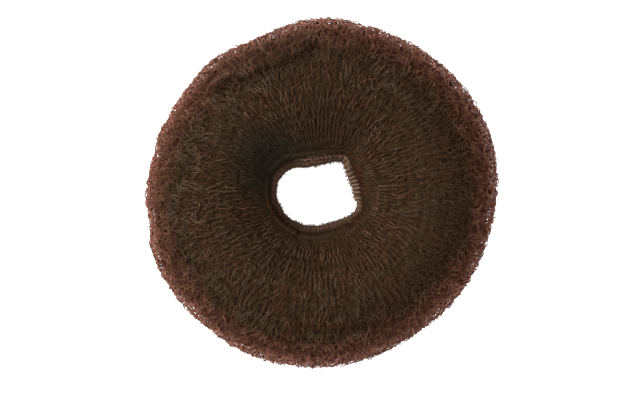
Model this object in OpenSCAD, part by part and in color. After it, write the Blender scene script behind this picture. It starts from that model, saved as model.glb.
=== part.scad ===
// Ring of knitted nylon net, rolled up on itself, that a bun of hair is wound round.
// The ring lies flat on its underside. Its middle is the middle of its own outline.

/* [Ring] */
// Width of the ring across its outline, on average
ring_d = 90; // [70:1:110]
// Height of the ring as it lies
ring_h = 34; // [26:1:42]
// Width of the middle hole at its waist, on average
hole_d = 18; // [12:1:26]
// How far the hole's middle lies to the right of the ring's
hole_x = -1.4; // [-3:0.1:3]
// How far the hole's middle lies behind the ring's
hole_y = -0.4; // [-3:0.1:3]
// How far the underside is pressed in where the ring lies on it
press = 1.5; // [0.8:0.1:2.5]

/* [Net cover] */
// Thickness of the loosely wound turns of net round the roll
net_t = 2; // [1.2:0.1:3]
// Depth of the deepest fold in the net
fold_depth = 2; // [0:0.1:2.4]

/* [Gathered hem] */
// Place of the hem round the section, counted from the rim over the crest, in degrees
hem_angle = 153; // [140:1:165]
// Width of the hem band
hem_w = 3.2; // [2:0.1:5]
// Thickness of the hem band
hem_t = 1.6; // [1:0.1:2.4]
// How far the hem stands out in its middle
hem_puff = 0.3; // [0:0.05:0.6]
// Number of gathers round the hem
gathers = 42; // [24:2:60]
// Depth of one gather
gather_depth = 0.3; // [0:0.05:0.5]
// Gap between the hem and each lip of the cover
hem_gap = 0.3; // [0.2:0.05:0.6]

/* [Rolled core] */
// Gap between the roll and the wall round it
core_gap = 0.65; // [0.5:0.05:1]
// How much further the net stands off the roll at the rim
rim_slack = 4; // [1:0.5:6]
// Turns that the net makes in the roll
roll_turns = 2.25; // [1.25:0.25:3.25]
// Width of the space left down the middle of the roll
roll_bore = 5; // [3:0.5:8]
// Gap between two turns of the roll
turn_gap = 0.6; // [0.4:0.05:1]

/* [Smoothness] */
// Sections round the cover
cover_sections = 90; // [48:6:120]
// Sections round the roll
core_sections = 30; // [24:2:60]

/* [Hidden] */

// The ring's outline, section by section round it, counted anticlockwise from the right.
// RIM is a share of half ring_d, HOLE a share of half hole_d and CREST a share of ring_h.
AZ = 0;
RIM = 1;
HOLE = 2;
CREST = 3;
SECTIONS = [
    [0, 0.995, 1.10, 0.99],
    [18, 1.012, 1.03, 0.98],
    [35, 1.006, 1.06, 0.98],
    [52, 0.992, 1.17, 0.97],
    [70, 0.982, 0.94, 0.98],
    [90, 0.99, 0.81, 0.98],
    [112, 0.948, 0.85, 0.96],
    [129, 0.972, 1.00, 0.95],
    [144, 0.96, 1.09, 0.955],
    [162, 0.976, 1.12, 0.97],
    [185, 0.992, 1.12, 0.98],
    [203, 1.013, 1.05, 0.99],
    [225, 1.003, 1.02, 1.00],
    [245, 1.00, 0.94, 0.99],
    [265, 0.988, 0.90, 0.98],
    [290, 0.97, 0.89, 0.99],
    [312, 0.957, 0.98, 0.98],
    [342, 0.977, 1.23, 0.99]];

// Folds and dents pressed into the net. FOLD_AZ and FOLD_AT are the middle of each, round the
// ring and round the section, FOLD_LONG and FOLD_WIDE its half length and half width in degrees,
// and FOLD_SHARE its depth as a share of fold_depth.
FOLD_AZ = 0;
FOLD_AT = 1;
FOLD_LONG = 2;
FOLD_WIDE = 3;
FOLD_SHARE = 4;
FOLDS = [
    [114, 58, 24, 10, 1.0],
    [168, 40, 14, 13, 0.4],
    [212, 44, 20, 12, 0.65],
    [262, 38, 20, 13, 0.35],
    [318, 48, 26, 15, 0.6],
    [20, 46, 20, 14, 0.35],
    [140, 146, 34, 24, 0.35],
    [75, 118, 14, 20, 0.3]];

rows = len(SECTIONS);
full_angle = 360;
under_angle = 340;
rim_r = ring_d / 2;
hole_r = hole_d / 2;

// Half the thickness of the ring's tube, on average
tube_r = (rim_r - hole_r) / 2;
// Turns an arc length on the tube into degrees round the section
arc_deg = 180 / (PI * tube_r);
hem_half = hem_w / 2 * arc_deg;
lip_half = (hem_w / 2 + hem_gap) * arc_deg;

// Points round each section: the visible upper side is finer than the underside
upper_points = 17;
lower_points = 10;
inner_points = 15;
turn_points = 11;
hem_points = 4;

// How far the flat facets of the cover's inner side cut in past its curve
wall_facet = tube_r * (1 - cos(full_angle / inner_points / 2));

// What lies between the ring's outside and the roll
core_inset = max(net_t, hem_t) + wall_facet + core_gap;
roll_r = min(tube_r - rim_slack / 2, (ring_h + press) / 2) - core_inset;
turn_share = (1 - roll_bore / 2 / roll_r) / (floor(roll_turns) + 1);
strip_share = turn_share - turn_gap / roll_r;

// The part of a turn of the roll after which it steps in under its own start
step_share = 0.7;

// Slope of a table's column at one row, from the rows on both sides of it
function slope_at(column, i) =
    let (
        before = SECTIONS[(i + rows - 1) % rows],
        after = SECTIONS[(i + 1) % rows],
        span = (after[AZ] - before[AZ] + full_angle) % full_angle
    )
    (after[column] - before[column]) / span;

// Value of a table's column at any azimuth, smooth all the way round
function share_at(column, az) =
    let (
        i = max([for (k = [0 : rows - 1]) if (SECTIONS[k][AZ] <= az) k]),
        j = (i + 1) % rows,
        span = (SECTIONS[j][AZ] - SECTIONS[i][AZ] + full_angle) % full_angle,
        u = (az - SECTIONS[i][AZ]) / span,
        blend = u * u * (3 - 2 * u)
    )
    SECTIONS[i][column] * (1 - blend) + SECTIONS[j][column] * blend
        + slope_at(column, i) * span * u * (1 - u) * (1 - u)
        - slope_at(column, j) * span * u * u * (1 - u);

function toward(az) = [cos(az), sin(az)];

// Azimuths of a number of sections, evenly round the ring
function azimuths(count) = [for (s = [0 : count - 1]) full_angle * s / count];

// The ring's middle is put at the middle of its outline
outline = [for (az = [0 : 2 : full_angle - 1]) rim_r * share_at(RIM, az) * toward(az)];
outline_x = [for (p = outline) p.x];
outline_y = [for (p = outline) p.y];
outline_mid = [max(outline_x) + min(outline_x), max(outline_y) + min(outline_y)] / 2;

// Angle between two directions, the short way round
function between(a, b) = abs((a - b + 5 * full_angle / 2) % full_angle - full_angle / 2);

// How far the net is pressed in at a place on it
function dent_at(az, at) =
    let (dents = [for (f = FOLDS)
        f[FOLD_SHARE] * exp(-pow(between(az, f[FOLD_AZ]) / f[FOLD_LONG], 2)
            - pow(between(at, f[FOLD_AT]) / f[FOLD_WIDE], 2))])
    fold_depth * dents * [for (f = FOLDS) 1];

// The section at one azimuth: its middle, its half width, its half height and its middle's height
function section_at(az, slack = 0) =
    let (
        hole = [hole_x, hole_y] + hole_r * share_at(HOLE, az) * toward(az),
        rim = rim_r * share_at(RIM, az) * toward(az),
        across = (rim - hole) / norm(rim - hole),
        crest = ring_h * share_at(CREST, az)
    )
    [(hole + rim - across * slack) / 2 - outline_mid, across,
        (norm(rim - hole) - slack) / 2, (crest + press) / 2, (crest - press) / 2, az];

// Point of a section at an angle round it, a distance in from the outside, with the part
// inside that shrunk by a share, and never lower than floor_z
function section_point(section, at, inset, share, floor_z) =
    let (
        dent = dent_at(section[5], at),
        flat = section[0] + section[1] * (section[2] - inset - dent) * share * cos(at),
        z = section[4] + (section[3] - inset - dent) * share * sin(at)
    )
    [flat.x, flat.y, max(floor_z, z)];

function net_point(section, at, inset) = section_point(section, at, inset, 1, inset);

// Angles from the hem's lower lip round the underside, the rim and the crest to its upper lip
cover_start = hem_angle + lip_half;
cover_end = full_angle + hem_angle - lip_half;
outer_angles = [
    for (k = [0 : lower_points - 1]) cover_start + (under_angle - cover_start) * k / lower_points,
    for (k = [0 : upper_points - 1]) under_angle + (cover_end - under_angle) * k / (upper_points - 1)];
inner_angles = [
    for (k = [0 : inner_points - 1]) cover_end + (cover_start - cover_end) * k / (inner_points - 1)];

function cover_loop(section) = [
    for (at = outer_angles) net_point(section, at, 0),
    for (at = inner_angles) net_point(section, at, net_t)];

// How many layers deep the roll's outer side is after some turns
function depth_after(turns) =
    let (u = max(0, (turns - floor(turns) - step_share) / (1 - step_share)))
    floor(turns) + u * u * (3 - 2 * u);

function roll_point(section, turns, side) =
    section_point(section, hem_angle - full_angle * turns, core_inset,
        1 - turn_share * depth_after(turns) - strip_share * side, core_inset);

function roll_loop(section) =
    let (steps = floor(roll_turns * turn_points))
    [
        for (k = [0 : steps]) roll_point(section, (steps - k) / turn_points, 0),
        for (k = [0 : steps]) roll_point(section, k / turn_points, 1)];

// The hem's outer side is puffed out in its middle, and every other section of it is drawn in
function hem_loop(section, drawn_in) = [
    for (k = [0 : hem_points - 1])
        let (u = 2 * k / (hem_points - 1) - 1)
        net_point(section, hem_angle + hem_half * u, drawn_in - hem_puff * cos(90 * u)),
    for (k = [hem_points - 1 : -1 : 0])
        let (u = 2 * k / (hem_points - 1) - 1)
        net_point(section, hem_angle + hem_half * u, hem_t)];

// Closed ring through a loop of points at each azimuth
module ring_through(loops) {
    count = len(loops[0]);
    polyhedron(
        points = [for (loop = loops) each loop],
        faces = [
            for (s = [0 : len(loops) - 1], m = [0 : count - 1])
                let (a = s * count, b = (s + 1) % len(loops) * count, n = (m + 1) % count)
                each [[a + m, a + n, b + n], [a + m, b + n, b + m]]],
        convexity = 8);
}

// Loose outer turns of net, open along the hem
module net_cover() {
    color("#4b3328")
        ring_through([for (az = azimuths(cover_sections)) cover_loop(section_at(az))]);
}

// Tight roll of the same net, a spiral strip in section
module rolled_core() {
    color("#33241b")
        ring_through([for (az = azimuths(core_sections)) roll_loop(section_at(az, rim_slack))]);
}

// Edges of the net drawn together round the hole
module gathered_hem() {
    color("#5a3a2c")
        ring_through([
            for (az = azimuths(2 * gathers))
                hem_loop(section_at(az), gather_depth * (1 - cos(gathers * az)) / 2)]);
}

net_cover();
rolled_core();
gathered_hem();
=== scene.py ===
"""The look of a rolled mesh hair donut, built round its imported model. Lengths are in metres."""

import math

import bmesh
import bpy
import numpy as np
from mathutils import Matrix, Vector
from mathutils.bvhtree import BVHTree


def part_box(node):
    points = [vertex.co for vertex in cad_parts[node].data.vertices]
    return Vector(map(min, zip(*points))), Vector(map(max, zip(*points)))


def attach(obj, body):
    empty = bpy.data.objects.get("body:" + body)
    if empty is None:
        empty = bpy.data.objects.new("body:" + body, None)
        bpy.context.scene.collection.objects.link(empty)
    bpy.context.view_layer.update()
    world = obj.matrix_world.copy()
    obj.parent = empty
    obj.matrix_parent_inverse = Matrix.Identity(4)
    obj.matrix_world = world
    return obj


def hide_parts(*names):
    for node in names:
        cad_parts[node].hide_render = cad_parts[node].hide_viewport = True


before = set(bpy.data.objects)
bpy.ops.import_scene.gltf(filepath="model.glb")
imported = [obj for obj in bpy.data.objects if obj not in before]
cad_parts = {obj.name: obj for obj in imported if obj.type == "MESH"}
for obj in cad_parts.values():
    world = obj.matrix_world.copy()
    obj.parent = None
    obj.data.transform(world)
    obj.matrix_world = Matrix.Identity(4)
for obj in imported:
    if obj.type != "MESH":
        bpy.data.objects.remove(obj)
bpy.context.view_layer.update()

# Sizes

MM = 0.001
TURN = 2 * math.pi

# The net is one knitted tube: so many loops round it, in rows that are long by the hole, where it
# is drawn together, and short at the rim, where it is stretched
LOOPS_ROUND = 54
ROW_AT_HOLE = 3.1 * MM
ROW_AT_RIM = 2.2 * MM
TUBE_R = 17.5 * MM

# A loop: how far its head reaches in rows, how far its legs lean out in loops, and how far
# they arch out of the net
LOOP_REACH = 0.61
LOOP_BULGE = 0.07
BULGE_AT_RIM = 0.14
LOOP_CURL = 0.35
LEGS_PAIRED = 0.03
LEG_RISE = 0.36 * MM
ROW_SHIFT = 0.16
THREAD_R = 0.12 * MM
THREAD_SIDES = 3

# The turns of net run from the foot of the hole's wall, under the ring and over its crest, to
# the hem, as section angles in degrees
NET_SPAN = (206, 505.5)

# The long last loops, drawn down over the hole's wall from the hem in pairs of legs
WALL_SPAN = (154, 212)
WALL_LOOPS = 54
WALL_LEG_R = 0.125 * MM
WALL_LEG_APART = 0.024
WALL_LEG_SUNK = 0.14 * MM
WALL_LEG_TUCKED = 0.7 * MM
WALL_LEG_POINTS = 13
WALL_LEG_WOBBLE = 0.10
WALL_LEG_LEAN = 0.35

# How loose the net is by the hole, as a share of its looseness at the rim, and how far its
# thread is crimped there
LOOSE_AT_HOLE = 0.65
CRIMP = 0.12 * MM

# How far chance moves a loose thread: aside in loops, up in rows, in wider patches and in reach
CHANCE_ASIDE = 0.40
CHANCE_UP = 0.46
CHANCE_PATCHY = 0.3
CHANCE_REACH = 0.30

# Where the loops start to be outer ones, as a share of the way to the rim, and over what share
OUTER_FROM = 0.52
OUTER_OVER = 0.3

# The outermost turn stands off the others at the rim, and the inner turns lie close together,
# closest on the hole's wall
RIM_ROOM = 0.65 * MM
LOOSE_DEPTH = 0.9 * MM
CLOSE_DEPTH = 0.14 * MM

# The share of the way to the hole at which they begin to close up, and over what share
CLOSE_FROM = 0.55
CLOSE_OVER = 0.3

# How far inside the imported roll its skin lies
ROLL_SUNK = 0.3 * MM

# Behind the right side of the hole the deeper turns draw back, so that light comes between the
# legs of the outermost turn
COMB_AZ = math.radians(12)
COMB_AZ_HALF = math.radians(40)
COMB_AT_HALF = math.radians(22)
COMB_DEPTH = 0.24 * MM
# Where the legs there are painted light, standing for light that comes through them from behind: a
# place and a reach
COMB_PLACE = (7.6 * MM, 2.0 * MM, 20 * MM)
COMB_R = 9 * MM

# The back of the hole, where the wall is painted light and mottled as if lit through, and its left,
# where the edge is painted lighter
BACK_PLACE = (0.5 * MM, 9.5 * MM, 19 * MM)
BACK_R = 9 * MM
LEFT_PLACE = (-11.5 * MM, 0.5 * MM, 17 * MM)
LEFT_R = 9 * MM

# The hem in degrees round the section, counted from the rim over the crest
HEM_AT = 153
HEM_HALF = 5.0
HEM_THICK = 1.4 * MM
HEM_PUFF = 0.3 * MM
HEM_GATHERS = 42
HEM_GATHER_DEPTH = 0.16 * MM
HEM_GATHER_DRIFT = 0.8
HEM_CORDS = (0.06, 0.12, 0.18, 0.24, 0.30)
HEM_CORD_R = 0.10 * MM
HEM_CORD_SUNK = 0.03 * MM
HEM_CORD_POINTS = 420
HEM_CORD_WAVES = 90
HEM_CORD_WAVER = 0.012

# The rim band, in degrees round the section
RIM_BAND = (285, 440)
RIM_LOOPS = 84

# A hollow on the far left of the hole, where shade is painted onto the net, dark and low in contrast
HOLLOW_AT = (-13.5 * MM, 8.5 * MM, 26 * MM)
HOLLOW_R = 14.5 * MM

# A crease on the far left, where the net folds under the rim band: its azimuth and section angle
# in degrees, and how many steps past it the net stays low. Then over how many degrees it begins
# and ends, and over how many steps its lip rises.
CREASE = [(90, 38, 6), (93, 41, 6), (98.4, 44.5, 5), (100, 47, 4.5), (105.7, 46, 3.6),
    (107.8, 48.5, 3.2), (113, 46, 3.2), (118, 46.5, 3.2), (122.8, 50, 3), (124.7, 49, 3.5),
    (127.7, 42, 5), (132, 41, 7), (137, 43, 6), (140.5, 45, 4)]
CREASE_STEP = math.radians(1.5)
CREASE_DEPTH = 1.6 * MM
CREASE_LIP = 0.12 * MM
CREASE_BEGINS = 3
CREASE_ENDS = 6
LIP_STEPS = 4

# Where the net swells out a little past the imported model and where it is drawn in: azimuth,
# section angle, half length and half width in degrees, and how many millimetres
SWELLS = [(0, 180, 400, 40, 0.33), (140, 180, 30, 40, 0.75), (186, 180, 26, 40, 0.6),
    (224, 180, 16, 40, 0.65), (353, 180, 14, 40, 0.65), (30, 180, 14, 40, 0.5),
    (322, 0, 14, 40, 0.45)]
NOTCHES = [(169, 0, 6, 30, 0.55), (190, 0, 5, 30, 0.8), (232, 0, 6, 30, 0.35)]

# Threads pulled tight beside the crease, in bundles: the places that a bundle runs through, as
# azimuth and section angle in degrees, its number of threads and its width in degrees
BUNDLES = [
    ([(92, 34), (98, 40), (107, 43), (118, 42), (124, 44)], 4, 7),
    ([(122.4, 45), (131, 39), (136.4, 39.5), (141, 43), (150.4, 37)], 7, 3),
    ([(134.5, 40), (131.5, 54), (127, 66)], 2, 1.5),
    ([(135.5, 41), (134, 55), (131, 70)], 2, 1.5),
    ([(137, 42), (137.5, 55), (135.5, 68)], 2, 1.5),
    ([(139.5, 44), (141, 55), (141.5, 66)], 2, 1.5),
    ([(131, 40), (127, 50), (122, 58)], 2, 1.5)]
BUNDLE_POINTS = 40
BUNDLE_WAVES = 12
BUNDLE_WAVE = 0.8
BUNDLE_LIFT = 0.35 * MM
BUNDLE_SUNK = 0.15 * MM
BUNDLE_IN_CREASE = 0.4
BUNDLE_R = 0.11 * MM

# Loose ends and slack bits: points along each, and how far it curls and arches, in radians
BIT_POINTS = 9
BIT_CURL = 2.5
BIT_ARCH = (1.6, 3.1)

# Each lot of them: seed, how many, between which section angles, the longest, how far they rise
# and their radius
STRAY_ENDS = (91, 700, (-25, 40), 2.8 * MM, 0.9 * MM, 0.095 * MM)
SLACK_BITS = (97, 700, (-20, 140), 1.7 * MM, 0.3 * MM, 0.065 * MM)
WAIST_ENDS = (31, 320, (166, 200), 1.6 * MM, 0.45 * MM, 0.09 * MM)

# Steps of each skin, round the ring and round its section
LOOSE_STEPS = (200, 90)
ROLL_STEPS = (200, 72)
HEM_STEPS = (420, 16)

# Patches where shade is painted onto the thread, and the side where light is painted onto the net
# under it: azimuth, section angle, half length and half width in degrees, and how much painted shade
# or light
SHADED_PATCHES = [(-14, 72, 58, 27, 0.85), (86, 124, 28, 28, 0.85), (180, 108, 40, 22, 0.35),
    (270, 118, 50, 22, 0.2), (228, 78, 34, 34, 0.35), (172, 62, 40, 26, 0.25),
    (88, 55, 26, 22, 0.5), (256, 144, 46, 11, 1.0)]
LIT_SIDE = [(-40, 88, 105, 100, 1.0)]

# The left side, where the loops curl most: azimuth and half length in degrees
CURLY_AT = 178
CURLY_HALF = 62
CURLY_MORE = 0.6

# Tones of each thread: deep; a lighter tone at random places, which is painted sheen standing in for
# the thread's highlights; and red and pale at the rim, which are painted light that comes through the
# thin net there. The hem lies away from the rim, so its last two never show.
RIM_BROWN = (0.105, 0.044, 0.027, 1)
OUTER_TONES = [(0.038, 0.0215, 0.0116, 1), (0.072, 0.0460, 0.0310, 1), (0.155, 0.063, 0.040, 1),
    (0.560, 0.285, 0.215, 1)]
SECOND_TONES = [(0.025, 0.0142, 0.0075, 1), (0.034, 0.0195, 0.0106, 1), (0.086, 0.033, 0.019, 1),
    (0.190, 0.078, 0.052, 1)]
# The slack bits' tones are lighter: painted glints of thread that catches the light
GLINT_TONES = [(0.080, 0.0520, 0.0310, 1), (0.150, 0.0990, 0.0640, 1), (0.220, 0.115, 0.080, 1),
    (0.560, 0.350, 0.280, 1)]
HEM_TONES = [(0.0155, 0.0080, 0.0045, 1), (0.029, 0.0156, 0.0088, 1), RIM_BROWN, RIM_BROWN]

# The close net of the roll and of the inner turns: its gaps, painted dark as the shade between the
# threads; its threads; and the red and the pale of the inner turns at the rim, which are painted light
# that comes through the net there
ROLL_GAP_SHADE = (0.004, 0.0022, 0.0013, 1)
ROLL_THREADS = (0.024, 0.013, 0.007, 1)
LOOSE_GAP_SHADE = (0.0180, 0.0105, 0.0060, 1)
LOOSE_THREADS = (0.0285, 0.0165, 0.0092, 1)
LOOSE_RED = (0.056, 0.0245, 0.015, 1)
LOOSE_PALE = (0.120, 0.052, 0.034, 1)

# Colours that are mixed over those: painted shade in the crease; red and olive tints; painted shade
# under the next loop; painted shade in the hollow and on the hem there; painted shade in the shaded
# patches; painted light on the lit side; painted light that comes through the net on the hole's waist,
# at its back and at its right; and the light that comes through the net
CREASE_SHADE = (0.0075, 0.0050, 0.0030, 1)
RUSSET_TINT = (1.14, 0.94, 0.90, 1)
OLIVE_TINT = (0.93, 1.01, 0.98, 1)
UNDER_SHADE = (0.62, 0.54, 0.45, 1)
HOLLOW_SHADE = (0.0185, 0.0148, 0.0096, 1)
HEM_HOLLOW_SHADE = (0.0175, 0.0138, 0.0092, 1)
PATCH_SHADE_BROWN = (0.0300, 0.0195, 0.0118, 1)
LIT_SIDE_TINT = (1.22, 1.17, 1.08, 1)
WAIST_LIT_THROUGH = (0.215, 0.115, 0.075, 1)
BACK_LIT_THROUGH = (0.480, 0.290, 0.170, 1)
COMB_LIT_THROUGH = (0.235, 0.160, 0.110, 1)
RIM_GLOW = (0.70, 0.32, 0.22, 1)

# Levels from which to which something sets in: the grain of the painted sheen, specks and olive tint
# in a noise, and the comb, the waist, the back, red, light and pale by how far out or up a place is
SHEEN_LEVELS = (0.44, 0.60)
SPECK_LEVELS = (0.48, 0.70)
TINT_LEVELS = (0.35, 0.65)
COMB_LEVELS = (0.91, 0.98)
WAIST_LEVELS = (0.93, 0.99)
BACK_LEVELS = (0.87, 0.95)
RED_LEVELS = (0.54, 0.95)
LIT_LEVELS = (0.80, 0.96)
PALE_LEVELS = (0.84, 0.97)
UPPER_LEVELS = (-0.25, 0.1)

# How fine the noises are, in bumps to a metre
THREAD_GRAIN = 400.0
HEM_GRAIN = 1500.0
PATCH_GRAIN = 70.0
TINT_GRAIN = 170.0
SPECK_GRAIN = 1400.0
WOBBLE_GRAIN = 160.0
NET_GRAIN = 900.0
PAPER_GRAIN = 6.0

# Rows of loops round the close net's section
CLOSE_ROWS = 46.0

# The photo's frame: millimetres to a pixel, the ring's middle in it and the camera's distance
IMAGE_W = 640
IMAGE_H = 400
PIXEL = 0.255 * MM
RING_PX = (321.5, 192.5)
CAMERA_Z = 0.72
SENSOR_MM = 36

# The floor, and its two paper whites with how much of its own light it gives
FLOOR_SIZE = 1.5
FLOOR_Z = -0.0002
PAPER_DARK = (0.88, 0.88, 0.88, 1)
PAPER_LIGHT = (0.92, 0.92, 0.92, 1)
PAPER_GLOW = 0.95

# Each light: its place, its width and its watts. They face one place, in a weak even light.
WINDOW = ((-0.63, 0.20, 0.90), 0.45, 24)
FILL = ((0.38, -0.18, 0.95), 0.9, 8)
LIT_PLACE = (0, 0, 0.015)
EVEN_LIGHT = 0.22

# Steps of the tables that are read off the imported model, how far out the rays that read them
# start, round the ring and round its section, how deep they look for the cover and for the roll,
# and how often a table is softened
READ_AZ = 240
READ_AT = 120
RING_RAYS_FROM = 0.08
SECTION_RAYS_FROM = 22 * MM
COVER_DEEPEST = 12 * MM
ROLL_DEEPEST = 4 * MM
SOFTENINGS = 2


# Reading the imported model

def smoothed(table, times):
    """A table that goes on round both ways, with each value softened by its neighbours."""
    for _ in range(times):
        for axis in (0, 1):
            table = (np.roll(table, 1, axis) + 2 * table + np.roll(table, -1, axis)) / 4
    return table


def sampled(table, u, v, soft=False):
    """Values of a table that goes on round both ways, at places from 0 to 1 along each axis."""
    rows, columns = table.shape
    x, y = np.mod(u, 1) * rows, np.mod(v, 1) * columns
    i, j = np.floor(x).astype(int), np.floor(y).astype(int)
    a, b = x - i, y - j
    if soft:
        a, b = a * a * (3 - 2 * a), b * b * (3 - 2 * b)
    i, j, k, m = i % rows, j % columns, (i + 1) % rows, (j + 1) % columns
    near = table[i, j] * (1 - b) + table[i, m] * b
    far = table[k, j] * (1 - b) + table[k, m] * b
    return near * (1 - a) + far * a


def tree_of(node):
    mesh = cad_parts[node].data
    return BVHTree.FromPolygons([v.co for v in mesh.vertices], [p.vertices for p in mesh.polygons])


def hit_distance(tree, start, direction, reach):
    found = tree.ray_cast(start, direction, reach)
    return np.nan if found[0] is None else found[3]


def tube_middle(tree, height):
    """Radius of the middle of the ring's tube at each azimuth, from the hole's wall and the rim."""
    middle = []
    axis = Vector((0, 0, height))
    for k in range(READ_AZ):
        az = TURN * k / READ_AZ
        out = Vector((math.cos(az), math.sin(az), 0))
        hole = hit_distance(tree, axis, out, RING_RAYS_FROM)
        far_side = axis + out * RING_RAYS_FROM
        rim = RING_RAYS_FROM - hit_distance(tree, far_side, -out, RING_RAYS_FROM)
        middle.append((hole + rim) / 2)
    return np.array(middle)


def read_skin(tree, deepest):
    """Distance from the middle of the tube to the outside of a node, round the ring and round
    the section. A ray that finds nothing before the deepest distance takes its neighbours' value."""
    skin = np.full((READ_AZ, READ_AT), np.nan)
    for k in range(READ_AZ):
        az = TURN * k / READ_AZ
        out = Vector((math.cos(az), math.sin(az), 0))
        middle = out * MIDDLE_R[k] + Vector((0, 0, MIDDLE_Z))
        for m in range(READ_AT):
            at = TURN * m / READ_AT
            ray = out * math.cos(at) + Vector((0, 0, math.sin(at)))
            start = middle + ray * SECTION_RAYS_FROM
            hit = hit_distance(tree, start, -ray, SECTION_RAYS_FROM - deepest)
            skin[k, m] = SECTION_RAYS_FROM - hit
        known = np.flatnonzero(~np.isnan(skin[k]))
        skin[k] = np.interp(np.arange(READ_AT), known, skin[k][known], period=READ_AT)
    return skin


cover_tree = tree_of("net_cover")
MIDDLE_Z = sum(v.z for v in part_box("net_cover")) / 2
MIDDLE_R = tube_middle(cover_tree, MIDDLE_Z)
COVER = smoothed(read_skin(cover_tree, COVER_DEEPEST), SOFTENINGS)
ROLL = smoothed(read_skin(tree_of("rolled_core"), ROLL_DEEPEST), SOFTENINGS)


def place(az, at, out):
    """Points at a distance out from the middle of the tube, at azimuth az and section angle at."""
    middle = np.interp(az, TURN * np.arange(READ_AZ) / READ_AZ, MIDDLE_R, period=TURN)
    flat = middle + out * np.cos(at)
    return np.stack([flat * np.cos(az), flat * np.sin(az), MIDDLE_Z + out * np.sin(at)], -1)


def by_crease(az, at):
    """How low the net lies past the crease, from 0 to 1, and how much of a lip stands over it."""
    places, angles, fades = np.array(CREASE).T
    around = np.degrees(np.mod(az, TURN))
    begun = np.clip((around - places[0]) / CREASE_BEGINS, 0, 1)
    strength = begun * np.clip((places[-1] - around) / CREASE_ENDS, 0, 1)
    off = np.mod(at, TURN) - np.radians(np.interp(around, places, angles))
    off = off / CREASE_STEP
    step = np.clip(off, 0, 1)
    step = step * step * (3 - 2 * step)
    fade = np.exp(-np.clip(off - 1, 0, None) / np.interp(around, places, fades))
    return strength * step * fade, strength * (1 - step), off


def creased(az, at):
    """How far the net is drawn in past the crease, less the lip that stands over it."""
    low, lip, off = by_crease(az, at)
    behind = np.clip(-off, 0, None) / LIP_STEPS
    return CREASE_DEPTH * low - CREASE_LIP * lip * np.exp(-behind ** 2)


def share_at(table, az, at):
    """How much of a table's shares reaches a place."""
    shares = []
    for round_at, across_at, half_long, half_wide, share in np.radians(table):
        aside = (np.mod(az - round_at + math.pi, TURN) - math.pi) / half_long
        above = (np.mod(at - across_at + math.pi, TURN) - math.pi) / half_wide
        shares.append(math.degrees(share) * np.exp(-aside ** 4 - above ** 2))
    return np.max(shares, 0)


def cover_out(az, at):
    """Distance out to the outside of the net cover."""
    swollen = MM * (share_at(SWELLS, az, at) - share_at(NOTCHES, az, at))
    return sampled(COVER, az / TURN, at / TURN) - creased(az, at) + swollen


def roll_out(az, at):
    """Distance out to the roll, just inside its outside."""
    return sampled(ROLL, az / TURN, at / TURN) - ROLL_SUNK - drawn_back(az, at)


def rimward(at):
    """How near the rim a place is: 0 by the hole, 1 at the rim."""
    return (1 + np.cos(at)) / 2


def holeward(at):
    """1 on the wall of the hole, fading to 0 at the crest and at the underside."""
    return np.clip(-np.cos(at), 0, 1) ** 2


def drawn_back(az, at):
    """How far the deeper turns lie back behind the legs at the right of the hole."""
    aside = np.abs(np.mod(az - COMB_AZ + math.pi, TURN) - math.pi) / COMB_AZ_HALF
    above = np.abs(np.mod(at, TURN) - math.pi) / COMB_AT_HALF
    return COMB_DEPTH * np.exp(-aside ** 4 - above ** 4)


def loose_turns_out(az, at):
    """Distance out to where the close mass of the net's inner turns begins."""
    close = np.clip((-np.cos(at) - CLOSE_FROM) / CLOSE_OVER, 0, 1)
    depth = LOOSE_DEPTH + (CLOSE_DEPTH - LOOSE_DEPTH) * close * close * (3 - 2 * close)
    return cover_out(az, at) - depth - drawn_back(az, at) - rim_room(at)


def rim_room(at):
    """How much further in the inner turns lie at the rim."""
    return RIM_ROOM * np.clip(np.cos(at), 0, 1) ** 4


# Making pieces

def piece_from(mesh, name, finish):
    for polygon in mesh.polygons:
        polygon.use_smooth = True
    mesh.materials.append(finish)
    piece = bpy.data.objects.new(name, mesh)
    bpy.context.scene.collection.objects.link(piece)
    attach(piece, "root")
    return piece


def wrapped_ring(name, steps_round, steps_across, wrap, finish, slot):
    """A skin bent from a flat grid into a closed ring. wrap turns places from 0 to 1, round the
    ring and round its section, into points. The grid's own map stays on it."""
    shape = bmesh.new()
    shape.loops.layers.uv.new("OFBake")
    bmesh.ops.create_grid(shape, x_segments=steps_round, y_segments=steps_across, size=0.5,
        calc_uvs=True)
    flat = np.array([vert.co[:2] for vert in shape.verts]) + 0.5
    for vert, point in zip(shape.verts, wrap(flat[:, 0], flat[:, 1])):
        vert.co = point
    bmesh.ops.remove_doubles(shape, verts=shape.verts, dist=0.001 * MM)
    mesh = bpy.data.meshes.new(name)
    shape.to_mesh(mesh)
    shape.free()
    mark(mesh, *ring_place(np.array([vert.co for vert in mesh.vertices])))
    return piece_from(mesh, name, finish)


def strands(name, lines, outward, radius, closed, finish, hidden=0.0):
    """Round threads along many lines, an array of line by point by x, y and z. None of them
    reaches below the floor. hidden says how far each point is covered by the next loop."""
    lines[..., 2] = np.maximum(lines[..., 2], np.max(radius))
    around = tube_points(lines, outward, radius, closed)
    faces = tube_faces(lines.shape[0], lines.shape[1], closed)
    mesh = bpy.data.meshes.new(name)
    mesh.from_pydata(around.reshape(-1, 3).tolist(), [], faces.tolist())
    map_round_ring(mesh, around.reshape(-1, 3), faces)
    covered = np.broadcast_to(np.asarray(hidden)[..., None], around.shape[:3])
    mesh.attributes.new("hidden", "FLOAT", "POINT").data.foreach_set("value", covered.reshape(-1))
    if not closed:
        close_ends(mesh)
    return piece_from(mesh, name, finish)


def close_ends(mesh):
    shape = bmesh.new()
    shape.from_mesh(mesh)
    ends = [edge for edge in shape.edges if edge.is_boundary]
    bmesh.ops.holes_fill(shape, edges=ends, sides=THREAD_SIDES)
    shape.to_mesh(mesh)
    shape.free()


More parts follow.
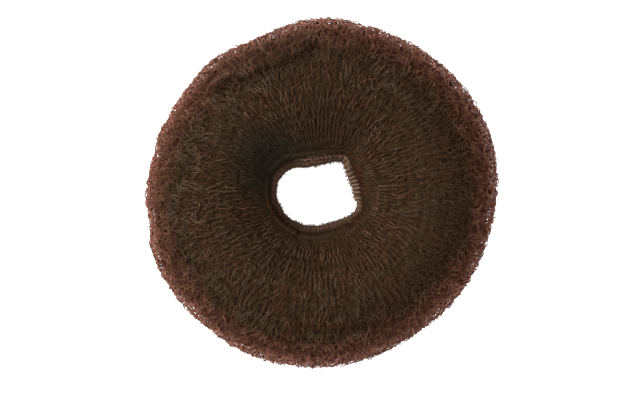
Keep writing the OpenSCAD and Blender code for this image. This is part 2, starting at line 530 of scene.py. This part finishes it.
def ring_place(points):
    """Azimuth and section angle of points."""
    az = np.arctan2(points[:, 1], points[:, 0])
    middle = np.interp(az, TURN * np.arange(READ_AZ) / READ_AZ, MIDDLE_R, period=TURN)
    return az, np.arctan2(points[:, 2] - MIDDLE_Z, np.hypot(points[:, 0], points[:, 1]) - middle)


def mark(mesh, az, at):
    """Marks for the finishes: which points are low in the crease, which are on the lip over it, how
    near each is to the hole's waist, how much painted shade or painted light it takes and how far up
    the section."""
    low, lip, _ = by_crease(az, at)
    marks = {"in_crease": low, "on_lip": lip, "by_waist": -np.cos(at), "upward": np.sin(at),
        "shaded_patch": share_at(SHADED_PATCHES, az, at), "light": share_at(LIT_SIDE, az, at)}
    for name, share in marks.items():
        mesh.attributes.new(name, "FLOAT", "POINT").data.foreach_set("value", share)


def map_round_ring(mesh, points, faces):
    """UV map: u goes once round the ring and v once round its section, from the hem on."""
    az, at = ring_place(points)
    mark(mesh, az, at)
    places = np.stack([np.mod(az / TURN, 1), np.mod((at - math.radians(HEM_AT)) / TURN, 1)], -1)
    corners = places[faces]
    split = np.ptp(corners, axis=1, keepdims=True) > 0.5
    corners = np.where(split & (corners < 0.5), 1, corners)
    mesh.uv_layers.new(name="OFBake")
    mesh.uv_layers["OFBake"].uv.foreach_set("vector", corners.reshape(-1).astype(np.float32))


def tube_faces(lines, points, closed):
    """Four-cornered faces of round threads, whose points are numbered line by line."""
    count = points if closed else points - 1
    s, p, q = np.meshgrid(
        np.arange(lines), np.arange(count), np.arange(THREAD_SIDES), indexing="ij")
    after, beside = (p + 1) % points, (q + 1) % THREAD_SIDES
    corners = [(s * points + a) * THREAD_SIDES + b for a, b in
        ((p, q), (p, beside), (after, beside), (after, q))]
    return np.stack(corners, -1).reshape(-1, 4)


def tube_points(lines, outward, radius, closed):
    """Points round each of many lines."""
    if closed:
        along = np.roll(lines, -1, 1) - np.roll(lines, 1, 1)
    else:
        along = np.gradient(lines, axis=1)
    along /= np.linalg.norm(along, axis=-1, keepdims=True)
    aside = np.cross(along, outward)
    aside /= np.maximum(np.linalg.norm(aside, axis=-1, keepdims=True), 1e-9)
    up = np.cross(aside, along)
    turns = TURN * (np.arange(THREAD_SIDES) + 0.25) / THREAD_SIDES
    radius = np.broadcast_to(radius, lines.shape[:2])[..., None, None]
    round_it = aside[..., None, :] * np.cos(turns)[:, None] + up[..., None, :] * np.sin(turns)[:, None]
    return lines[..., None, :] + radius * round_it


def outward_at(az, at):
    return np.stack([np.cos(at) * np.cos(az), np.cos(at) * np.sin(az), np.sin(at)], -1)


# The knitted net

def row_places():
    """Section angle of each place along the rows, from the hem over the waist, the underside,
    the rim and the crest back to the hem, and the number of rows that it takes."""
    mean = (ROW_AT_HOLE + ROW_AT_RIM) / 2
    half = (ROW_AT_HOLE - ROW_AT_RIM) / 2
    angles = math.radians(HEM_AT) + np.linspace(0, TURN, 721)
    length = mean - half * np.cos(angles)
    steps = TUBE_R * np.diff(angles) / ((length[1:] + length[:-1]) / 2)
    return np.concatenate([[0], np.cumsum(steps)]), angles


ROW_COUNTS, ROW_ANGLES = row_places()


def wavering(rng, rows, loops, steps):
    """Chance offsets, one for each end of each loop, joined softly along the thread."""
    ends = rng.normal(0, 1, (rows, 2 * loops))
    u = np.arange(loops * steps) * 2 / steps
    i = np.floor(u).astype(int)
    a = u - i
    a = a * a * (3 - 2 * a)
    return ends[:, i % (2 * loops)] * (1 - a) + ends[:, (i + 1) % (2 * loops)] * a


def net_turn(name, finish, seed, depth, tangle, steps, stand_off=0.0, wander=0.0,
        loops=LOOPS_ROUND, span=NET_SPAN, radius=THREAD_R, outermost=False):
    """One turn of the net: rows of loops, each hooked through the row before."""
    rng = np.random.default_rng(seed)
    start, stop = np.interp(np.radians(span), ROW_ANGLES, ROW_COUNTS)
    rows = int(stop - start)
    t = TURN * np.arange(loops * steps) / steps
    t = t - LOOP_CURL / 2 * np.sin(2 * t)
    row = stop - 0.6 - np.arange(rows)[:, None]
    u = (t / TURN / loops)[None, :]
    v = row / ROW_COUNTS[-1]

    def chance():
        return wavering(rng, rows, loops, steps)

    def patches(across, along):
        return sampled(rng.normal(0, 1, (across, along)), u, v, True)

    near = np.interp(row, ROW_COUNTS, ROW_ANGLES)
    drawn = holeward(near) ** 0.5
    loose = tangle * (LOOSE_AT_HOLE + (1 - LOOSE_AT_HOLE) * np.clip(1.4 * rimward(near) - 0.3, 0, 1))
    shift = (np.arange(rows)[:, None] % 2 / 4 + rng.normal(0, ROW_SHIFT, (rows, 1))) * (1 - drawn)
    outer = np.clip((rimward(near) - OUTER_FROM) / OUTER_OVER, 0, 1)
    bulge = LOOP_BULGE + (BULGE_AT_RIM - LOOP_BULGE) * outer
    aside = (np.mod(TURN * u - math.radians(CURLY_AT) + math.pi, TURN) - math.pi) / CURLY_HALF
    curly = loose * (1 + CURLY_MORE * np.exp(-np.degrees(aside) ** 4) * (1 - drawn))
    across = (t / TURN + bulge * np.sin(2 * t) + LEGS_PAIRED * drawn * np.sin(t) + shift
        + CHANCE_ASIDE * curly * chance() + CHANCE_PATCHY * loose * patches(12, 9))
    reach = LOOP_REACH * (1 + CHANCE_REACH * loose * chance())
    up = (row + reach * np.cos(t) + CHANCE_UP * curly * chance()
        + CHANCE_PATCHY * loose * patches(14, 11))
    az = TURN * across / loops
    at = np.interp(np.mod(up, ROW_COUNTS[-1]), ROW_COUNTS, ROW_ANGLES)
    lift = -LEG_RISE * np.cos(2 * t) + loose * stand_off * np.abs(chance())
    sunk = depth + wander * (0.5 + 0.35 * patches(30, 17) + 0.25 * chance())
    if not outermost:
        sunk = sunk + drawn_back(az, at) + rim_room(at)
    lines = place(az, at, cover_out(az, at) - sunk + lift)
    lines = lines + CRIMP * loose[..., None] * rng.normal(0, 1, lines.shape)
    hidden = np.clip((np.cos(2 * t) + 0.3) / 1.1, 0, 1) * (1 - 0.7 * outer)
    return strands(name, lines, outward_at(az, at), radius, True, finish, hidden)


def wall_legs(name, finish, seed):
    """The long last loops of the net, drawn down over the hole's wall from under the hem."""
    rng = np.random.default_rng(seed)
    s = np.linspace(0, 1, WALL_LEG_POINTS)[None, :]
    leg = np.arange(2 * WALL_LOOPS)[:, None]
    wobble = np.repeat(rng.normal(0, WALL_LEG_WOBBLE, (WALL_LOOPS, 1)), 2, 0)
    lean = np.repeat(rng.normal(0, WALL_LEG_LEAN, (WALL_LOOPS, 1)), 2, 0) * (s - 0.4)
    az = TURN * (leg // 2 + wobble + lean) / WALL_LOOPS + WALL_LEG_APART * (leg % 2 - 0.5)
    at = np.radians(WALL_SPAN[0] + (WALL_SPAN[1] - WALL_SPAN[0]) * s)
    az, at = np.broadcast_arrays(az, at)
    tucked = WALL_LEG_TUCKED * (1 - np.clip(5 * np.sin(math.pi * s), 0, 1))
    sunk = WALL_LEG_SUNK * (1 - drawn_back(az, at) / COMB_DEPTH)
    lines = place(az, at, cover_out(az, at) - tucked - sunk)
    return strands(name, lines, outward_at(az, at), WALL_LEG_R, False, finish)


def stray_ends(name, finish, seed, count, span, longest, rise, radius):
    """Ends and slack bits of thread that stand out of the net between two section angles."""
    rng = np.random.default_rng(seed)
    s = np.linspace(0, 1, BIT_POINTS)[None, :]

    def each(low, high):
        return rng.uniform(low, high, (count, 1))

    heading = each(0, TURN)
    length = each(longest / 3, longest)
    curl = each(-BIT_CURL, BIT_CURL)
    way = heading + curl * s
    middle = MIDDLE_R.mean()
    az = each(0, TURN) + length * np.cumsum(np.cos(way), 1) / BIT_POINTS / (middle + TUBE_R)
    at = np.radians(each(*span)) + length * np.cumsum(np.sin(way), 1) / BIT_POINTS / TUBE_R
    out = cover_out(az, at) - rise / 2 + each(rise / 2, rise * 1.5) * np.sin(s * each(*BIT_ARCH))
    return strands(name, place(az, at, out), outward_at(az, at), radius, False, finish)


def pulled_threads(name, finish, seed):
    """Bundles of thread that are pulled tight beside the crease."""
    rng = np.random.default_rng(seed)
    s = np.linspace(0, 1, BUNDLE_POINTS)
    paths = []
    for places, count, wide in BUNDLES:
        spots = np.linspace(0, 1, len(places))
        for _ in range(count):
            part = rng.uniform(0, 0.3) + rng.uniform(0.45, 0.7) * s
            wave = rng.normal(0, BUNDLE_WAVE, BUNDLE_WAVES)
            wave = np.interp(s, np.linspace(0, 1, BUNDLE_WAVES), wave)
            off = rng.uniform(-wide / 2, wide / 2) + wave
            az, at = [np.interp(part, spots, column) for column in np.array(places).T]
            paths.append((az + off * np.sin(part * 3) / 2, at + off))
    az, at = np.radians(np.array(paths)).transpose(1, 0, 2)
    lift = BUNDLE_LIFT * np.sin(math.pi * s) - BUNDLE_SUNK
    flat = sampled(COVER, az / TURN, at / TURN) - BUNDLE_IN_CREASE * creased(az, at)
    return strands(name, place(az, at, flat + lift), outward_at(az, at), BUNDLE_R, False, finish)


# The hem

def hem_place(u, v, swell=0.0):
    """A place on the gathered hem: u round the ring, v round the hem's own section."""
    az, turn = TURN * u, TURN * v
    gather = 0.5 + 0.5 * np.cos(HEM_GATHERS * az + HEM_GATHER_DRIFT * np.sin(3 * az))
    at = math.radians(HEM_AT) + math.radians(HEM_HALF) * np.cos(turn)
    height = HEM_THICK / 2 + HEM_PUFF / 2 + swell
    centre = cover_out(az, at) + HEM_PUFF - HEM_THICK / 2 - HEM_PUFF / 2
    return place(az, at, centre + height * np.sin(turn) - HEM_GATHER_DEPTH * gather), az, at


def hem_cords(name, finish, seed):
    """Threads that run round the hem and draw it together."""
    rng = np.random.default_rng(seed)
    u = np.arange(HEM_CORD_POINTS)[None, :] / HEM_CORD_POINTS
    v = np.array(HEM_CORDS)[:, None]
    cord = np.arange(len(HEM_CORDS))[:, None] / len(HEM_CORDS)
    wave = sampled(rng.normal(0, 1, (HEM_CORD_WAVES, len(HEM_CORDS))), u, cord, True)
    lines, az, at = hem_place(u, v + HEM_CORD_WAVER * wave, -HEM_CORD_SUNK)
    return strands(name, lines, outward_at(az, at), HEM_CORD_R, True, finish)


# Finishes

class Number:
    """A number socket of a material's nodes, on which sums can be written."""

    def __init__(self, shop, socket):
        self.shop = shop
        self.socket = socket

    def sum(self, operation, other, swapped=False):
        pair = (other, self) if swapped else (self, other)
        return self.shop.maths(operation, *pair)

    def __add__(self, other):
        return self.sum("ADD", other)

    def __rsub__(self, other):
        return self.sum("SUBTRACT", other, True)

    def __mul__(self, other):
        return self.sum("MULTIPLY", other)

    __radd__ = __add__
    __rmul__ = __mul__


class Shop:
    """The nodes of one material."""

    def __init__(self, name):
        self.material = bpy.data.materials.new(name)
        self.material.use_nodes = True
        self.tree = self.material.node_tree
        self.tree.nodes.clear()

    def node(self, kind, settings=None, values=None):
        made = self.tree.nodes.new(kind)
        for name, value in (settings or {}).items():
            setattr(made, name, value)
        for name, value in (values or {}).items():
            socket = made.inputs[name]
            if isinstance(value, Number):
                value = value.socket
            if isinstance(value, bpy.types.NodeSocket):
                self.tree.links.new(value, socket)
            else:
                socket.default_value = value
        return made

    def maths(self, operation, *values):
        made = self.node("ShaderNodeMath", {"operation": operation}, dict(enumerate(values)))
        return Number(self, made.outputs[0])

    def place(self):
        return self.node("ShaderNodeTexCoord").outputs["Object"]

    def ring_map(self):
        """How far round the ring and round the section, from the piece's own map."""
        parts = self.node("ShaderNodeSeparateXYZ", values={
            "Vector": self.node("ShaderNodeUVMap", {"uv_map": "OFBake"}).outputs["UV"]})
        return Number(self, parts.outputs["X"]), Number(self, parts.outputs["Y"])

    def noise(self, scale, detail=2.0, rough=0.5):
        made = self.node("ShaderNodeTexNoise", values={
            "Vector": self.place(), "Scale": scale, "Detail": detail, "Roughness": rough})
        return Number(self, made.outputs["Fac"])

    def rimward(self, start, end):
        """How near the rim a place is, as a share of the way out from the middle of the tube: 0 up
        to one share, 1 from another."""
        return self.between(self.marked("by_waist") * -1.0, start, end)

    def near(self, spot, reach, core=0.3):
        """1 about a place, fading to 0 at a distance from it."""
        away = self.node("ShaderNodeVectorMath", {"operation": "DISTANCE"}, {
            0: self.place(), 1: spot}).outputs["Value"]
        return 1 - self.between(Number(self, away), core * reach, reach)

    def marked(self, name):
        """A mark that the piece carries."""
        made = self.node("ShaderNodeAttribute", {"attribute_name": name})
        return Number(self, made.outputs["Fac"])

    def between(self, value, start, end):
        made = self.node("ShaderNodeMapRange", {"interpolation_type": "SMOOTHSTEP"}, {
            "Value": value, "From Min": start, "From Max": end})
        return Number(self, made.outputs["Result"])

    def mix(self, share, first, second, way="MIX"):
        made = self.node("ShaderNodeMix", {"data_type": "RGBA", "blend_type": way}, {
            "Factor": share, 6: first, 7: second})
        return made.outputs[2]

    def bump(self, height, strength, distance):
        return self.node("ShaderNodeBump", values={
            "Height": height, "Strength": strength, "Distance": distance}).outputs["Normal"]

    def finish(self, surface):
        self.node("ShaderNodeOutputMaterial", values={"Surface": surface})
        return self.material


def reddened(shop):
    """How much painted red a place takes, standing for light that comes through the thin net: at the
    rim, and a little on the lip over the crease.
    """
    lip = shop.marked("on_lip")
    return shop.maths("MAXIMUM", shop.rimward(*RED_LEVELS) * (1 - 0.5 * lip), lip * 0.12)


def at_back(shop):
    """How near a place is to the back of the hole, where the wall is seen."""
    return shop.between(shop.marked("by_waist"), *BACK_LEVELS) * shop.near(BACK_PLACE, BACK_R, 0.6)


def at_waist(shop, spots):
    """How near the hole's waist a place is, further up the wall at the back of the hole."""
    edge = shop.between(shop.marked("by_waist"), *WAIST_LEVELS)
    waist = edge * (0.6 + 0.4 * shop.near(LEFT_PLACE, LEFT_R, 0.5))
    return shop.maths("MAXIMUM", waist, at_back(shop) * (0.25 + 0.75 * spots))


def at_rim(shop, levels):
    """How near the rim's upper side a place is."""
    return shop.rimward(*levels) * shop.between(shop.marked("upward"), *UPPER_LEVELS)


def lit_through(shop, spots):
    """How much light comes through at a place: most at the rim, and some by the hole's waist."""
    return shop.maths("MAXIMUM", at_rim(shop, LIT_LEVELS), at_waist(shop, spots) * 0.8)


def lightened(shop, body, spots, red, pale):
    """A colour with painted light and shade. It is redder and paler towards the rim, standing for
    light that comes through the thin net, and lighter by the hole's waist and at its back, standing
    for light that comes through the wall. It is darker in the crease, standing for shade."""
    waist = at_waist(shop, spots)
    # Painted light: red towards the rim, where light comes through the thin net
    body = shop.mix(reddened(shop), body, red)
    # Painted shade in the crease, below its lip
    body = shop.mix(shop.marked("in_crease"), body, CREASE_SHADE)
    # Painted light: pale on the rim's upper side, where the paper shines through
    body = shop.mix(at_rim(shop, PALE_LEVELS) * (0.2 + 0.8 * spots), body, pale)
    # Painted light by the hole's waist and at its back, standing for light that comes through the wall
    body = shop.mix(waist * (0.5 + 0.5 * spots), body, WAIST_LIT_THROUGH)
    return shop.mix(at_back(shop) * spots * 0.6, body, BACK_LIT_THROUGH)


def thread_finish(name, tones, grain=THREAD_GRAIN, hollow_shade=HOLLOW_SHADE):
    """Bare nylon thread: matte and dark, with painted light and shade in its colour. It has painted
    sheen at random places. It is redder at the rim and light where the paper shines through it, and
    lighter by the hole's waist, at its back and at its right. It has painted shade in the crease, in
    the hollow, in shaded patches and under the next loop."""
    deep, sheen, red, pale = tones
    shop = Shop(name)
    tone = shop.noise(grain, 1.0) * 0.8 + shop.noise(PATCH_GRAIN, 2.0) * 0.2
    speck = shop.noise(SPECK_GRAIN, 1.0)
    spots = shop.between(speck, *SPECK_LEVELS)
    shaded_patch = shop.marked("shaded_patch")
    # Painted sheen: a lighter tone at random places stands in for the thread's highlights
    sheen_here = shop.between(tone, *SHEEN_LEVELS)
    # Painted light on the legs at the right of the hole, as if lit through
    comb = shop.between(shop.marked("by_waist"), *COMB_LEVELS) * shop.near(COMB_PLACE, COMB_R)
    body = shop.mix(sheen_here * (1 - shaded_patch), deep, sheen)
    olive = shop.between(shop.noise(TINT_GRAIN, 2.0), *TINT_LEVELS)
    tint = shop.mix(olive, RUSSET_TINT, OLIVE_TINT)
    body = shop.mix(1.0, body, tint, "MULTIPLY")
    # Painted shade in the shaded patches, which also lose their painted sheen
    body = shop.mix(shaded_patch * 0.55, body, PATCH_SHADE_BROWN)
    # Painted shade in the hollow, with specks left lighter
    body = shop.mix(shop.near(HOLLOW_AT, HOLLOW_R) * (1 - 0.4 * spots), body, hollow_shade)
    deep_red = [0.55 * level for level in red[:3]] + [1]
    body = lightened(shop, body, spots, shop.mix(sheen_here, deep_red, red), pale)
    body = shop.mix(shop.marked("hidden") * (1 - 0.6 * shaded_patch), body, UNDER_SHADE, "MULTIPLY")
    skin = shop.node("ShaderNodeBsdfPrincipled", values={
        "Base Color": shop.mix(comb, body, COMB_LIT_THROUGH),
        "Roughness": 0.55 + 0.2 * speck,
        "Specular IOR Level": 0.0,
        "Normal": shop.bump(speck, 0.25, 0.05 * MM)})
    through = shop.node("ShaderNodeBsdfTranslucent", values={"Color": RIM_GLOW})
    return shop.finish(shop.node("ShaderNodeMixShader", values={
        "Fac": lit_through(shop, spots) * (0.2 + 0.3 * spots),
        1: skin.outputs["BSDF"],
        2: through.outputs["BSDF"]}).outputs["Shader"])


def close_net(shop):
    """0 in the gaps to 1 on the threads of a close net, drawn along the piece's own map."""
    u, v = shop.ring_map()
    wobble = shop.noise(WOBBLE_GRAIN, 2.0)
    legs = shop.maths("SINE", (u * (LOOPS_ROUND * 2.0) + wobble * 0.9) * TURN)
    rows = shop.maths("SINE", (v * CLOSE_ROWS + wobble * 1.4) * TURN)
    return shop.between(legs * 0.6 + rows * 0.55 + shop.noise(NET_GRAIN, 2.0) * 1.1, 0.1, 1.3)


def roll_finish():
    """The roll's own skin, with painted shade in the gaps between close rows of loops."""
    shop = Shop("close_net_of_the_roll")
    mesh = close_net(shop)
    skin = shop.node("ShaderNodeBsdfPrincipled", values={
        "Base Color": shop.mix(mesh, ROLL_GAP_SHADE, ROLL_THREADS),
        "Roughness": 0.85 - 0.1 * mesh,
        "Specular IOR Level": 0.0,
        "Normal": shop.bump(mesh, 0.8, 0.3 * MM)})
    return shop.finish(skin.outputs["BSDF"])


def loose_finish():
    """The inner turns of net seen as one close mass, through which light comes red at the rim, partly
    as a translucent share and partly painted into its colour. Its gaps hold painted shade.
    """
    shop = Shop("loose_turns_of_net")
    mesh = close_net(shop)
    body = shop.mix(mesh, LOOSE_GAP_SHADE, LOOSE_THREADS)
    # Painted light: the inner turns are lightened on the south-east side
    body = shop.mix(shop.marked("light"), body, LIT_SIDE_TINT, "MULTIPLY")
    body = shop.mix(shop.near(HOLLOW_AT, HOLLOW_R), body, HOLLOW_SHADE)
    body = lightened(shop, body, mesh, LOOSE_RED, LOOSE_PALE)
    skin = shop.node("ShaderNodeBsdfPrincipled", values={
        "Base Color": body,
        "Roughness": 0.85 - 0.1 * mesh,
        "Specular IOR Level": 0.0,
        "Normal": shop.bump(mesh, 0.5, 0.2 * MM)})
    through = shop.node("ShaderNodeBsdfTranslucent", values={"Color": RIM_GLOW})
    return shop.finish(shop.node("ShaderNodeMixShader", values={
        "Fac": 0.45 * lit_through(shop, mesh),
        1: skin.outputs["BSDF"],
        2: through.outputs["BSDF"]}).outputs["Shader"])


def floor_finish():
    """Plain white paper, a little self-lit so that it stays white beside the ring."""
    shop = Shop("white_paper")
    shade = shop.noise(PAPER_GRAIN, 2.0)
    skin = shop.node("ShaderNodeBsdfPrincipled", values={
        "Base Color": shop.mix(shade, PAPER_DARK, PAPER_LIGHT),
        "Roughness": 0.9,
        "Emission Color": (1, 1, 1, 1),
        "Emission Strength": PAPER_GLOW})
    return shop.finish(skin.outputs["BSDF"])


# The pieces

OUTER_THREAD = thread_finish("brown_nylon_thread", OUTER_TONES)
SECOND_THREAD = thread_finish("middle_nylon_thread", SECOND_TONES)
GLINT_THREAD = thread_finish("glinting_nylon_thread", GLINT_TONES)

outer_net = net_turn("outer_net", OUTER_THREAD, seed=11, depth=0.03 * MM, tangle=0.60, steps=12,
    stand_off=0.40 * MM, outermost=True)
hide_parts("net_cover")
net_turn("second_net", SECOND_THREAD, seed=23, depth=0.50 * MM, tangle=0.80, steps=12,
    radius=0.125 * MM)
for name, seed in [("rim_net_a", 61), ("rim_net_b", 73)]:
    net_turn(name, OUTER_THREAD, seed, depth=0.0, tangle=1.0, steps=9, stand_off=0.2 * MM,
        wander=0.7 * MM, loops=RIM_LOOPS, span=RIM_BAND, radius=0.10 * MM, outermost=True)
wall_legs("wall_legs", OUTER_THREAD, seed=53)
pulled_threads("pulled_threads", OUTER_THREAD, seed=29)
stray_ends("stray_ends", OUTER_THREAD, *STRAY_ENDS)
# Slack bits in the lighter finish: painted glints where loose thread catches the light
stray_ends("slack_bits", GLINT_THREAD, *SLACK_BITS)
stray_ends("waist_ends", OUTER_THREAD, *WAIST_ENDS)

wrapped_ring("loose_turns", *LOOSE_STEPS,
    lambda u, v: place(TURN * u, TURN * v, loose_turns_out(TURN * u, TURN * v)), loose_finish(), "net")
roll = wrapped_ring("roll_body", *ROLL_STEPS,
    lambda u, v: place(TURN * u, TURN * v, roll_out(TURN * u, TURN * v)), roll_finish(), "roll")
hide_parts("rolled_core")

HEM_THREAD = thread_finish("hem_nylon", HEM_TONES, HEM_GRAIN, HEM_HOLLOW_SHADE)
hem = wrapped_ring("hem_band", *HEM_STEPS, lambda u, v: hem_place(u, v)[0], HEM_THREAD, "hem")
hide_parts("gathered_hem")
hem_cords("hem_cords", HEM_THREAD, seed=17)


# Floor, lights and camera

def make_floor():
    shape = bmesh.new()
    bmesh.ops.create_grid(shape, x_segments=1, y_segments=1, size=FLOOR_SIZE)
    mesh = bpy.data.meshes.new("floor")
    shape.to_mesh(mesh)
    shape.free()
    mesh.materials.append(floor_finish())
    floor = bpy.data.objects.new("floor", mesh)
    floor.location.z = FLOOR_Z
    bpy.context.scene.collection.objects.link(floor)


def make_light(name, place_at, size, watts):
    """A soft square light that faces the ring."""
    data = bpy.data.lights.new(name, "AREA")
    data.size = size
    data.energy = watts
    lamp = bpy.data.objects.new(name, data)
    lamp.location = place_at
    facing = Vector(LIT_PLACE) - Vector(place_at)
    lamp.rotation_euler = facing.to_track_quat("-Z", "Y").to_euler()
    bpy.context.scene.collection.objects.link(lamp)


def make_camera():
    """Straight above the ring, with the ring where the photo has it."""
    data = bpy.data.cameras.new("camera")
    distance = CAMERA_Z - MIDDLE_Z
    data.sensor_width = SENSOR_MM
    data.lens = data.sensor_width * distance / (IMAGE_W * PIXEL)
    camera = bpy.data.objects.new("camera", data)
    camera.location = (
        (IMAGE_W / 2 - RING_PX[0]) * PIXEL, (RING_PX[1] - IMAGE_H / 2) * PIXEL, CAMERA_Z)
    bpy.context.scene.collection.objects.link(camera)
    bpy.context.scene.camera = camera


make_floor()
make_light("window", *WINDOW)
make_light("fill", *FILL)
make_camera()

world = bpy.data.worlds.new("studio")
world.use_nodes = True
world.node_tree.nodes["Background"].inputs["Color"].default_value = (1, 1, 1, 1)
world.node_tree.nodes["Background"].inputs["Strength"].default_value = EVEN_LIGHT
bpy.context.scene.world = world
bpy.context.scene.view_settings.view_transform = "Standard"
